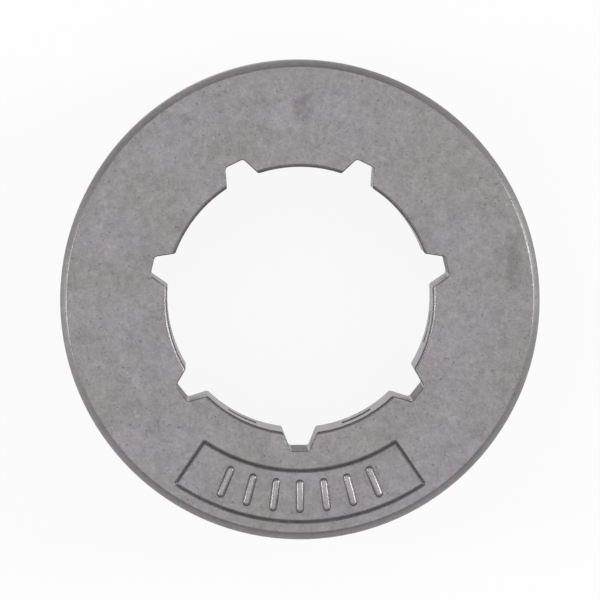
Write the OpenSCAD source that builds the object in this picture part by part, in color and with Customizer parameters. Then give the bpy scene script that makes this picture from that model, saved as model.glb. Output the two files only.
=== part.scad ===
// Rim sprocket for a chainsaw clutch drum: one hardened steel ring that floats on a splined
// hub and drives the saw chain. All lengths are in millimetres and all angles in degrees.
// The marked face looks up, along +Z, and the marking panel lies towards -Y.

/* [Rim] */
// Pitch of the saw chain: half the distance that three of its rivets span
chain_pitch = 9.525; // [9.2:0.005:10.3]
// Number of teeth, one between each two pockets
teeth = 7; // [7:1:8]
// How far the rails lie inside the circle of the chain's rivets
rail_drop = 3; // [2.6:0.1:3.4]
// Width of the rim between its two flat faces
rim_w = 12.7; // [10:0.1:16]
// Bevel that breaks the outer edge of each face
rim_bevel = 0.5; // [0.2:0.05:0.8]

/* [Chain pockets] */
// Width of the slot that guides the chain's drive links between the rails
slot_w = 3.2; // [2:0.1:4.5]
// Depth of a pocket from the rails to its flat floor
pocket_depth = 6.4; // [5:0.1:6.8]
// Length of a pocket's opening along the rim
pocket_mouth_l = 11; // [9:0.1:11.6]
// Length of a pocket at its floor
pocket_floor_l = 5.8; // [4.8:0.1:6.4]
// Radius in the two corners of a pocket's floor
pocket_corner_r = 1.6; // [0.6:0.1:2]
// Width of the chip window from each pocket's floor to the bore
window_w = 2.4; // [1.6:0.1:2.6]

/* [Splined bore] */
// Diameter of the bore over the lands that ride on the hub
bore_d = 20.4; // [19.8:0.1:20.8]
// Number of spline grooves
grooves = 7; // [6:1:8]
// Depth of a spline groove outside the bore
groove_depth = 1.4; // [1:0.05:1.5]
// Width of a spline groove where it leaves the bore
groove_mouth_w = 2.6; // [2.2:0.05:3]
// Width of a spline groove at its floor
groove_floor_w = 1.5; // [1.2:0.05:1.8]
// Radius in the corners of a spline groove's floor
groove_corner_r = 0.3; // [0.1:0.05:0.4]
// Bevel that leads the hub into each end of the bore
bore_bevel = 0.2; // [0.1:0.05:0.5]

/* [Marking panel] */
// Width of the plain face between the panel and the rim's outside
panel_margin = 1.25; // [1:0.05:2]
// Width of the sunk panel, from its outer arc to its inner one
panel_w = 4.15; // [2:0.05:4.5]
// Angle that the panel spans
panel_span = 69; // [40:1:90]
// Depth of the panel below the face
panel_depth = 0.4; // [0.2:0.05:0.6]
// Slope of the panel's four sides, from the vertical
panel_draft = 30; // [10:1:50]

/* [Hidden] */
$fn = 128;
steel = [0.59, 0.57, 0.58];
// The chain bends at every rivet, so its rivets lie on a polygon with two corners a tooth
rivet_r = chain_pitch / 2 / sin(90 / teeth);
rim_r = rivet_r - rail_drop;
pocket_floor_r = rim_r - pocket_depth;
bore_r = bore_d / 2;
panel_r = rim_r - panel_margin;
tooth_step = 360 / teeth;
groove_step = 360 / grooves;
// Direction of the marking panel and of the groove and the tooth behind it
marked_side = -90;
// Flat strips that make up each rounded corner
corner_strips = 8;
// How far a cutting shape runs past the surface that it opens
past = 1;

// Points along an arc about a centre, from one angle to another
function arc(centre, r, from, to) = [
    for (i = [0 : corner_strips])
        let (angle = from + (to - from) * i / corner_strips)
            centre + r * [cos(angle), sin(angle)]
];

// Straight groove in plan: it starts at the X axis with one width and narrows to a floor at
// y = depth, whose two corners are rounded.
module tapered_groove(mouth_w, floor_w, depth, corner_r) {
    flank = atan((mouth_w - floor_w) / 2 / depth);
    corner_x = floor_w / 2 + corner_r * tan(flank) - corner_r / cos(flank);
    corner_y = depth - corner_r;
    polygon(concat(
        [[-mouth_w / 2, 0], [mouth_w / 2, 0]],
        arc([corner_x, corner_y], corner_r, flank, 90),
        arc([-corner_x, corner_y], corner_r, 90, 180 - flank)
    ));
}

// The turned blank: a plain disc with both outer edges bevelled
module blank() {
    rotate_extrude()
        polygon([
            [0, 0],
            [rim_r - rim_bevel, 0],
            [rim_r, rim_bevel],
            [rim_r, rim_w - rim_bevel],
            [rim_r - rim_bevel, rim_w],
            [0, rim_w]
        ]);
}

// Bore with a groove for each spline of the hub and a lead-in bevel at both ends
module splined_bore() {
    slope = (groove_mouth_w - groove_floor_w) / groove_depth;
    translate([0, 0, -past])
        linear_extrude(rim_w + 2 * past)
            union() {
                circle(r = bore_r);
                for (i = [0 : grooves - 1])
                    rotate(marked_side - 90 + i * groove_step)
                        translate([0, bore_r - past])
                            tapered_groove(
                                groove_mouth_w + past * slope,
                                groove_floor_w,
                                groove_depth + past,
                                groove_corner_r
                            );
            }
    for (end = [0, 1])
        translate([0, 0, end * rim_w])
            mirror([0, 0, end])
                translate([0, 0, -past])
                    cylinder(h = bore_bevel + past, r1 = bore_r + bore_bevel + past, r2 = bore_r);
}

// One pocket for a drive link, with the narrow window that lets chips out into the bore
module chain_pocket() {
    slope = (pocket_mouth_l - pocket_floor_l) / pocket_depth;
    translate([0, 0, (rim_w - slot_w) / 2])
        linear_extrude(slot_w)
            union() {
                translate([0, rim_r + past])
                    mirror([0, 1])
                        tapered_groove(
                            pocket_mouth_l + past * slope,
                            pocket_floor_l,
                            pocket_depth + past,
                            pocket_corner_r
                        );
                translate([-window_w / 2, bore_r - past])
                    square([window_w, pocket_floor_r - bore_r + 2 * past]);
            }
}

// Sunk panel in the upper face: a sector of a ring whose four sides slope down to its floor
module marking_panel() {
    side_run = panel_depth * tan(panel_draft);
    past_run = past * tan(panel_draft);
    reach = 2 * rim_r;
    rotate(marked_side)
        intersection() {
            rotate_extrude()
                polygon([
                    [panel_r - panel_w + side_run, rim_w - panel_depth],
                    [panel_r - side_run, rim_w - panel_depth],
                    [panel_r + past_run, rim_w + past],
                    [panel_r - panel_w - past_run, rim_w + past]
                ]);
            intersection_for (side = [-1, 1])
                rotate(side * panel_span / 2)
                    translate([0, 0, rim_w])
                        rotate([-side * panel_draft, 0, 0])
                            translate([0, -(side + 1) / 2 * reach, -reach])
                                cube([reach, reach, 2 * reach]);
        }
}

module rim_sprocket() {
    color(steel)
        difference() {
            blank();
            splined_bore();
            for (i = [0 : teeth - 1])
                rotate(marked_side - 90 + (i + 1 / 2) * tooth_step)
                    chain_pocket();
            marking_panel();
        }
}

rim_sprocket();
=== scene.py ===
"""Looks of the rim sprocket: blasted end faces, turned rails, a broached bore, cast pockets and
a sunk panel that holds seven plain raised marks. Lengths are in metres, in the CAD frame; the
materials work in millimetres."""

from math import cos, hypot, pi, radians, sin

import bmesh
import bpy
from mathutils import Matrix, Vector


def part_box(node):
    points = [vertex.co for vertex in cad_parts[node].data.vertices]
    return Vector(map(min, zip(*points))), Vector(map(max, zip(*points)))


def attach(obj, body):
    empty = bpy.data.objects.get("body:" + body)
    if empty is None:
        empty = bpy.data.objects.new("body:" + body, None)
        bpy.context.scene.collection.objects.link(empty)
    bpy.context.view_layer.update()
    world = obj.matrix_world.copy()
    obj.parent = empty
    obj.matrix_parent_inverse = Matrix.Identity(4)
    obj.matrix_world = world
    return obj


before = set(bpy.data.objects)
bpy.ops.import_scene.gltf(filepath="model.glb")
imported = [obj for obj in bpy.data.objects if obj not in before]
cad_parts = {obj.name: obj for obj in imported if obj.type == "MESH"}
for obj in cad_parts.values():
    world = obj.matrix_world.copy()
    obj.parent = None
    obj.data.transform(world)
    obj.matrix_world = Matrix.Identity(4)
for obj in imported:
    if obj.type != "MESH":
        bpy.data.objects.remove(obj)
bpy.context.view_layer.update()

MM = 0.001
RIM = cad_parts["rim_sprocket"]
LOW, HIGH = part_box("rim_sprocket")
RIM_R = (HIGH.x - LOW.x) / 2
MARKS_WANTED = 7

# Sizes of the CAD solid that the finishes and the marks follow
RIM_BEVEL = 0.5 * MM
GROOVE_R = 11.6 * MM
PANEL_R = RIM_R - 1.25 * MM
PANEL_W = 4.15 * MM
PANEL_DEPTH = 0.4 * MM
PANEL_SIDE = -90

# Every edge of the ring is broken by the blasting
EDGE_RADIUS = 0.1 * MM
EDGE_STEPS = 3
EDGE_ANGLE = radians(25)
FLAT_ANGLE = radians(0.5)
SAME_POINT = 0.001 * MM

# Raised marks in the panel: plain bars with soft sides, one for each tooth
MARK_LENGTH = 2.6 * MM
MARK_WIDTH = 0.64 * MM
MARK_HEIGHT = 0.34 * MM
MARK_ROOT = 0.05 * MM
MARK_SLOPE = 0.24 * MM
MARK_STEP = 7.4
MARK_CORNER_STEPS = 6
MARK_PROFILE_STEPS = 5

# Colours, as linear values
NEUTRAL_STEEL = (0.292, 0.285, 0.283, 1)
WARM_STEEL = (0.318, 0.295, 0.310, 1)
SOOT = (0.165, 0.148, 0.148, 1)
WHITE = (1, 1, 1, 1)

# Texture of the steel: sizes of its patches in millimetres, and how far they change the tone
TINT_SIZE = 6.5
CLOUD_SIZE = 2.2
GLOSS_SIZE = 1.1
RAGGED_SIZE = 0.7
BLOTCH_SIZE = 0.5
SPECK_SIZE = 0.3
PIT_SIZE = 0.22
GRAIN_SIZE = 0.2
FINE_GRAIN_SIZE = 0.13
CLOUD_TONE = 0.04
# How much darker the pits are painted: painted shade in their hollows
PIT_SHADE_TONE = -0.18
SPECK_TONE = 0.16
PIT_ROUGHNESS = 0.12
RAGGED_EDGE = 1.6

# Part of a noise's range that is used: nearly all of its values lie between these two
NOISE_LOW, NOISE_HIGH = 0.3, 0.7

# Dark smudges on the marked face: place and half-size in millimetres, and strength
SMUDGES = [
    ((0.2, 14.9, 12.7), (1.0, 1.6, 1.0), 0.55),
    ((16.4, 2.8, 12.7), (0.9, 2.6, 1.0), 0.45),
    ((13.6, -10.0, 12.7), (1.5, 1.0, 1.0), 0.35),
    ((-8.8, 13.8, 12.7), (0.6, 0.6, 1.0), 0.4),
    ((-10.9, -9.8, 12.7), (1.5, 1.2, 1.0), 0.25),
]


class Tree:
    """The node tree of one material, with a short call for each kind of node."""

    def __init__(self, name):
        self.material = bpy.data.materials.new(name)
        self.material.use_nodes = True
        self.nodes = self.material.node_tree.nodes
        self.links = self.material.node_tree.links
        self.nodes.clear()

    def add(self, kind, inputs=None, **settings):
        """A node with its settings; an input is a value or another node's socket."""
        node = self.nodes.new(kind)
        for key, value in settings.items():
            setattr(node, key, value)
        for key, value in (inputs or {}).items():
            if isinstance(value, bpy.types.NodeSocket):
                self.links.new(value, node.inputs[key])
            else:
                node.inputs[key].default_value = value
        return node

    def math(self, operation, a, b=0.0, c=0.0):
        return self.add("ShaderNodeMath", {0: a, 1: b, 2: c}, operation=operation).outputs[0]

    def product(self, *values):
        result = values[0]
        for value in values[1:]:
            result = self.math("MULTIPLY", result, value)
        return result

    def spread(self, value, low, high, to_low, to_high, smooth=False):
        """The value carried over from one range to another, and held at its ends."""
        node = self.add("ShaderNodeMapRange", {
            "Value": value, "From Min": low, "From Max": high, "To Min": to_low, "To Max": to_high})
        node.interpolation_type = "SMOOTHSTEP" if smooth else "LINEAR"
        return node.outputs["Result"]

    def vector(self, operation, a, b, scale=1.0):
        node = self.add("ShaderNodeVectorMath", {0: a, 1: b, 3: scale}, operation=operation)
        return node.outputs["Value" if operation in ("LENGTH", "DOT_PRODUCT") else "Vector"]

    def varied(self, noise, low, high):
        """A noise carried over to the range from low to high."""
        return self.spread(noise, NOISE_LOW, NOISE_HIGH, low, high)

    def noise(self, place, size, detail=2.0, roughness=0.5):
        """Noise from 0 to 1 whose patches are about size across, in the units of place."""
        return self.add("ShaderNodeTexNoise", {
            "Vector": place, "Scale": 1 / size, "Detail": detail, "Roughness": roughness,
        }).outputs["Fac"]

    def mix(self, factor, a, b):
        return self.add("ShaderNodeMix", {0: factor, 6: a, 7: b}, data_type="RGBA").outputs[2]

    def finish(self, shader):
        output = self.add("ShaderNodeOutputMaterial")
        self.links.new(shader, output.inputs[0])
        return self.material


# Steel

def smudged(tree, place, colour):
    """The colour with soft dark smudges at their places."""
    ragged = tree.noise(place, RAGGED_SIZE, 3)
    for centre, reach, strength in SMUDGES:
        away = tree.vector("DIVIDE", tree.vector("SUBTRACT", place, centre), reach)
        edge = tree.math("MULTIPLY_ADD", ragged, RAGGED_EDGE, tree.vector("LENGTH", away, (0, 0, 0)))
        colour = tree.mix(tree.spread(edge, 0.9, 1.9, strength, 0, smooth=True), colour, SOOT)
    return colour


def steel(name, stretch=(1, 1, 1), line_size=0.2, line_depth=0.0, line_tone=0.0,
          grain_depth=0.009, pit_depth=0.012, mottle=0.09, roughness=(0.4, 0.52), tone=1.0,
          smudges=False):
    """Matt grey steel. Sizes and depths are in millimetres; stretch draws the lines out."""
    tree = Tree(name)
    place = tree.add("ShaderNodeTexCoord").outputs["Object"]
    place = tree.vector("MULTIPLY", place, (1 / MM, 1 / MM, 1 / MM))

    patches = tree.spread(tree.noise(place, TINT_SIZE, 3), 0.38, 0.62, 0, 1, smooth=True)
    colour = tree.mix(patches, NEUTRAL_STEEL, WARM_STEEL)
    if smudges:
        colour = smudged(tree, place, colour)

    clouds = tree.varied(tree.noise(place, CLOUD_SIZE, 2), 1 - CLOUD_TONE, 1 + CLOUD_TONE)
    blotches = tree.varied(tree.noise(place, BLOTCH_SIZE, 2), 1 - mottle, 1 + mottle)
    grain = tree.noise(place, GRAIN_SIZE, 2)
    speckle = tree.varied(grain, 1 - mottle, 1 + mottle)
    pits = tree.spread(tree.noise(place, PIT_SIZE, 1), 0.68, 0.78, 0, 1)
    specks = tree.spread(tree.noise(place, SPECK_SIZE, 1), 0.25, 0.33, 1, 0)
    marks = tree.math("MULTIPLY_ADD", specks, SPECK_TONE, 1)
    # The pits are painted darker here: painted shade in the hollows of the grain
    marks = tree.math("MULTIPLY_ADD", pits, PIT_SHADE_TONE, marks)
    lines = tree.noise(tree.vector("MULTIPLY", place, stretch), line_size, 3, 0.7)
    drawn = tree.varied(lines, 1 - line_tone, 1 + line_tone)
    shade = tree.product(clouds, blotches, speckle, marks, drawn, tone)
    colour = tree.vector("SCALE", colour, (0, 0, 0), shade)

    gloss = tree.varied(tree.noise(place, GLOSS_SIZE, 3, 0.6), *roughness)
    gloss = tree.math("MULTIPLY_ADD", pits, PIT_ROUGHNESS, gloss)
    height = tree.math("MULTIPLY", tree.noise(place, FINE_GRAIN_SIZE, 2), grain_depth)
    height = tree.math("MULTIPLY_ADD", grain, grain_depth, height)
    height = tree.math("MULTIPLY_ADD", pits, -pit_depth, height)
    height = tree.math("MULTIPLY_ADD", lines, line_depth, height)
    bump = tree.add("ShaderNodeBump", {"Height": height, "Distance": MM, "Strength": 1.0})
    return tree.finish(tree.add("ShaderNodeBsdfPrincipled", {
        "Base Color": colour, "Metallic": 1.0, "Roughness": gloss, "Normal": bump.outputs[0],
    }).outputs[0])


def worn_steel_painted_glint():
    """Tops of the raised marks, rubbed brighter by handling; their lighter tone is also a painted
    highlight, standing in for the glints along the marks.
    """
    # tone 1.15 paints the marks lighter: partly wear, partly a painted highlight for their glints
    return steel("worn_steel_painted_glint", grain_depth=0.004, pit_depth=0.004, mottle=0.05,
                 roughness=(0.3, 0.42), tone=1.15)


FINISHES = ["face", "rail", "bore", "pocket"]


def finish_of(polygon):
    """Which finish a face of the ring has."""
    centre, up = polygon.center, abs(polygon.normal.z)
    r = hypot(centre.x, centre.y)
    end_gap = min(centre.z - LOW.z, HIGH.z - centre.z)
    if up > 0.9 and end_gap < PANEL_DEPTH + SAME_POINT:
        return "face"
    if r > RIM_R - RIM_BEVEL and up < 0.9:
        return "rail"
    if centre.z > HIGH.z - PANEL_DEPTH and r > GROOVE_R + PANEL_DEPTH:
        return "face"
    return "bore" if r < GROOVE_R + SAME_POINT and up < 0.9 else "pocket"


def dress_ring():
    finishes = {
        "face": steel("blasted_steel", smudges=True),
        "rail": steel("turned_steel", stretch=(0.01, 0.01, 1), line_size=0.12, line_depth=0.008,
                      line_tone=0.06, grain_depth=0.003, mottle=0.05, roughness=(0.36, 0.48)),
        "bore": steel("broached_steel", stretch=(1, 1, 0.01), line_size=0.16, line_depth=0.008,
                      line_tone=0.06, grain_depth=0.002, mottle=0.05, roughness=(0.34, 0.46)),
        "pocket": steel("cast_steel", grain_depth=0.014, pit_depth=0.02, mottle=0.08,
                        roughness=(0.55, 0.7), tone=0.88),
    }
    first = len(RIM.data.materials)
    for name in FINISHES:
        RIM.data.materials.append(finishes[name])
    for polygon in RIM.data.polygons:
        polygon.material_index = first + FINISHES.index(finish_of(polygon))
        polygon.use_smooth = True


def round_edges(piece, width):
    weld = piece.modifiers.new("weld", "WELD")
    weld.merge_threshold = SAME_POINT
    flat = piece.modifiers.new("flat_faces", "DECIMATE")
    flat.decimate_type = "DISSOLVE"
    flat.angle_limit = FLAT_ANGLE
    flat.delimit = {"MATERIAL"}
    edge = piece.modifiers.new("broken_edges", "BEVEL")
    edge.width = width
    edge.segments = EDGE_STEPS
    edge.limit_method = "ANGLE"
    edge.angle_limit = EDGE_ANGLE
    edge.use_clamp_overlap = False
    edge.miter_outer = "MITER_ARC"
    normals = piece.modifiers.new("even_shading", "WEIGHTED_NORMAL")
    normals.keep_sharp = False


# Raised marks

def bar_outline(length, width):
    """Corners of a bar with round ends, along Y, as (x, y)."""
    r = width / 2
    points = []
    for end in (1, -1):
        for i in range(MARK_CORNER_STEPS + 1):
            turn = pi * i / MARK_CORNER_STEPS
            points.append((end * r * cos(turn), end * (length / 2 - r + r * sin(turn))))
    return points


def mark_rings():
    """How far each level of a mark is drawn in from its foot, and its height."""
    rings = [(0.0, -MARK_ROOT), (0.0, 0.0)]
    for i in range(1, MARK_PROFILE_STEPS + 1):
        turn = pi / 2 * i / MARK_PROFILE_STEPS
        rings.append((MARK_SLOPE * (1 - cos(turn)), MARK_HEIGHT * sin(turn)))
    return rings


def add_mark(mesh, angle):
    """One closed bar, set radially on the panel's floor."""
    middle_r = PANEL_R - PANEL_W / 2
    floor_z = HIGH.z - PANEL_DEPTH
    turn = Matrix.Rotation(radians(angle - 90), 4, "Z") @ Matrix.Translation((0, middle_r, floor_z))
    levels = []
    for inset, z in mark_rings():
        outline = bar_outline(MARK_LENGTH - 2 * inset, MARK_WIDTH - 2 * inset)
        levels.append([mesh.verts.new(turn @ Vector((x, y, z))) for x, y in outline])
    for lower, upper in zip(levels, levels[1:]):
        for i in range(len(lower)):
            j = (i + 1) % len(lower)
            mesh.faces.new((lower[i], lower[j], upper[j], upper[i]))
    mesh.faces.new(levels[-1])
    mesh.faces.new(levels[0][::-1])


def make_marks():
    mesh = bmesh.new()
    for i in range(MARKS_WANTED):
        add_mark(mesh, PANEL_SIDE + (i - (MARKS_WANTED - 1) / 2) * MARK_STEP)
    bmesh.ops.recalc_face_normals(mesh, faces=mesh.faces)
    for face in mesh.faces:
        face.smooth = True
    data = bpy.data.meshes.new("panel_marks")
    mesh.to_mesh(data)
    mesh.free()
    marks = bpy.data.objects.new("panel_marks", data)
    bpy.context.scene.collection.objects.link(marks)
    data.materials.append(worn_steel_painted_glint())
    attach(marks, "root")


# Stage

def make_floor():
    """A white floor, a hair below the ring; the camera sees it mostly as its own white, with a
    pale shadow. It has no back, so that the ring's lower face shows from underneath."""
    width, gap = 3, 0.02 * MM
    bounce, seen_bounce, seen_glow = 0.86, 0.1, 0.9
    bpy.ops.mesh.primitive_plane_add(size=width, location=(0, 0, LOW.z - gap))
    floor = bpy.context.object
    floor.name = "floor"
    tree = Tree("pale_floor")
    path = tree.add("ShaderNodeLightPath").outputs
    seen = tree.math("MAXIMUM", path["Is Camera Ray"], path["Is Glossy Ray"])
    seen = tree.math("MAXIMUM", seen, path["Is Transmission Ray"])
    tone = tree.spread(seen, 0, 1, bounce, seen_bounce)
    lit = tree.add("ShaderNodeBsdfDiffuse", {"Color": tone})
    glow = tree.add("ShaderNodeEmission", {
        "Color": WHITE, "Strength": tree.math("MULTIPLY", seen, seen_glow)})
    both = tree.add("ShaderNodeAddShader", {0: lit.outputs[0], 1: glow.outputs[0]})
    back = tree.add("ShaderNodeNewGeometry").outputs["Backfacing"]
    clear = tree.add("ShaderNodeBsdfTransparent").outputs[0]
    sides = tree.add("ShaderNodeMixShader", {0: back, 1: both.outputs[0], 2: clear})
    floor.data.materials.append(tree.finish(sides.outputs[0]))


def make_world():
    """Even dim light all round, seen as white by the camera."""
    light = 0.44
    world = bpy.data.worlds.new("studio")
    bpy.context.scene.world = world
    world.use_nodes = True
    nodes, links = world.node_tree.nodes, world.node_tree.links
    nodes.clear()
    seen = nodes.new("ShaderNodeLightPath").outputs["Is Camera Ray"]
    strength = nodes.new("ShaderNodeMapRange")
    strength.inputs["To Min"].default_value = light
    links.new(seen, strength.inputs["Value"])
    background = nodes.new("ShaderNodeBackground")
    background.inputs["Color"].default_value = WHITE
    links.new(strength.outputs["Result"], background.inputs["Strength"])
    links.new(background.outputs[0], nodes.new("ShaderNodeOutputWorld").inputs[0])


def make_lamp(name, azimuth, elevation, distance, size, level):
    """A square soft lamp that looks at the ring, level times as bright as white. Azimuth 0 is
    towards +X, 90 towards +Y."""
    data = bpy.data.lights.new(name, "AREA")
    data.shape = "SQUARE"
    data.size = size
    data.energy = level * pi * size ** 2
    lamp = bpy.data.objects.new(name, data)
    bpy.context.scene.collection.objects.link(lamp)
    a, e = radians(azimuth), radians(elevation)
    back = Vector((cos(a) * cos(e), sin(a) * cos(e), sin(e)))
    lamp.location = Vector((0, 0, HIGH.z)) + back * distance
    lamp.rotation_mode = "QUATERNION"
    lamp.rotation_quaternion = (-back).to_track_quat("-Z", "Y")
    lamp.visible_camera = False


def make_camera():
    """The photograph looks straight down on the ring from a little up and left of its axis."""
    distance, offset_x, offset_y = 0.85, -0.0085, 0.022
    seen_width = 2 * RIM_R / 0.8
    data = bpy.data.cameras.new("camera")
    data.lens = data.sensor_width * distance / seen_width
    data.clip_start, data.clip_end = 0.05, 10
    camera = bpy.data.objects.new("camera", data)
    bpy.context.scene.collection.objects.link(camera)
    back = Vector((offset_x, offset_y, distance)).normalized()
    right = Vector((0, 1, 0)).cross(back).normalized()
    turn = Matrix((right, back.cross(right), back)).transposed().to_4x4()
    place = Vector((0, 0, HIGH.z)) + back * distance
    camera.matrix_world = Matrix.Translation(place) @ turn
    bpy.context.scene.camera = camera


dress_ring()
round_edges(RIM, EDGE_RADIUS)
make_marks()
make_floor()
make_world()
make_lamp("top", azimuth=90, elevation=84, distance=1.2, size=1.1, level=0.93)
make_lamp("left", azimuth=180, elevation=28, distance=0.8, size=0.25, level=8)
make_lamp("right", azimuth=10, elevation=28, distance=0.8, size=0.25, level=11.5)
make_camera()
bpy.context.scene.view_settings.view_transform = "Standard"
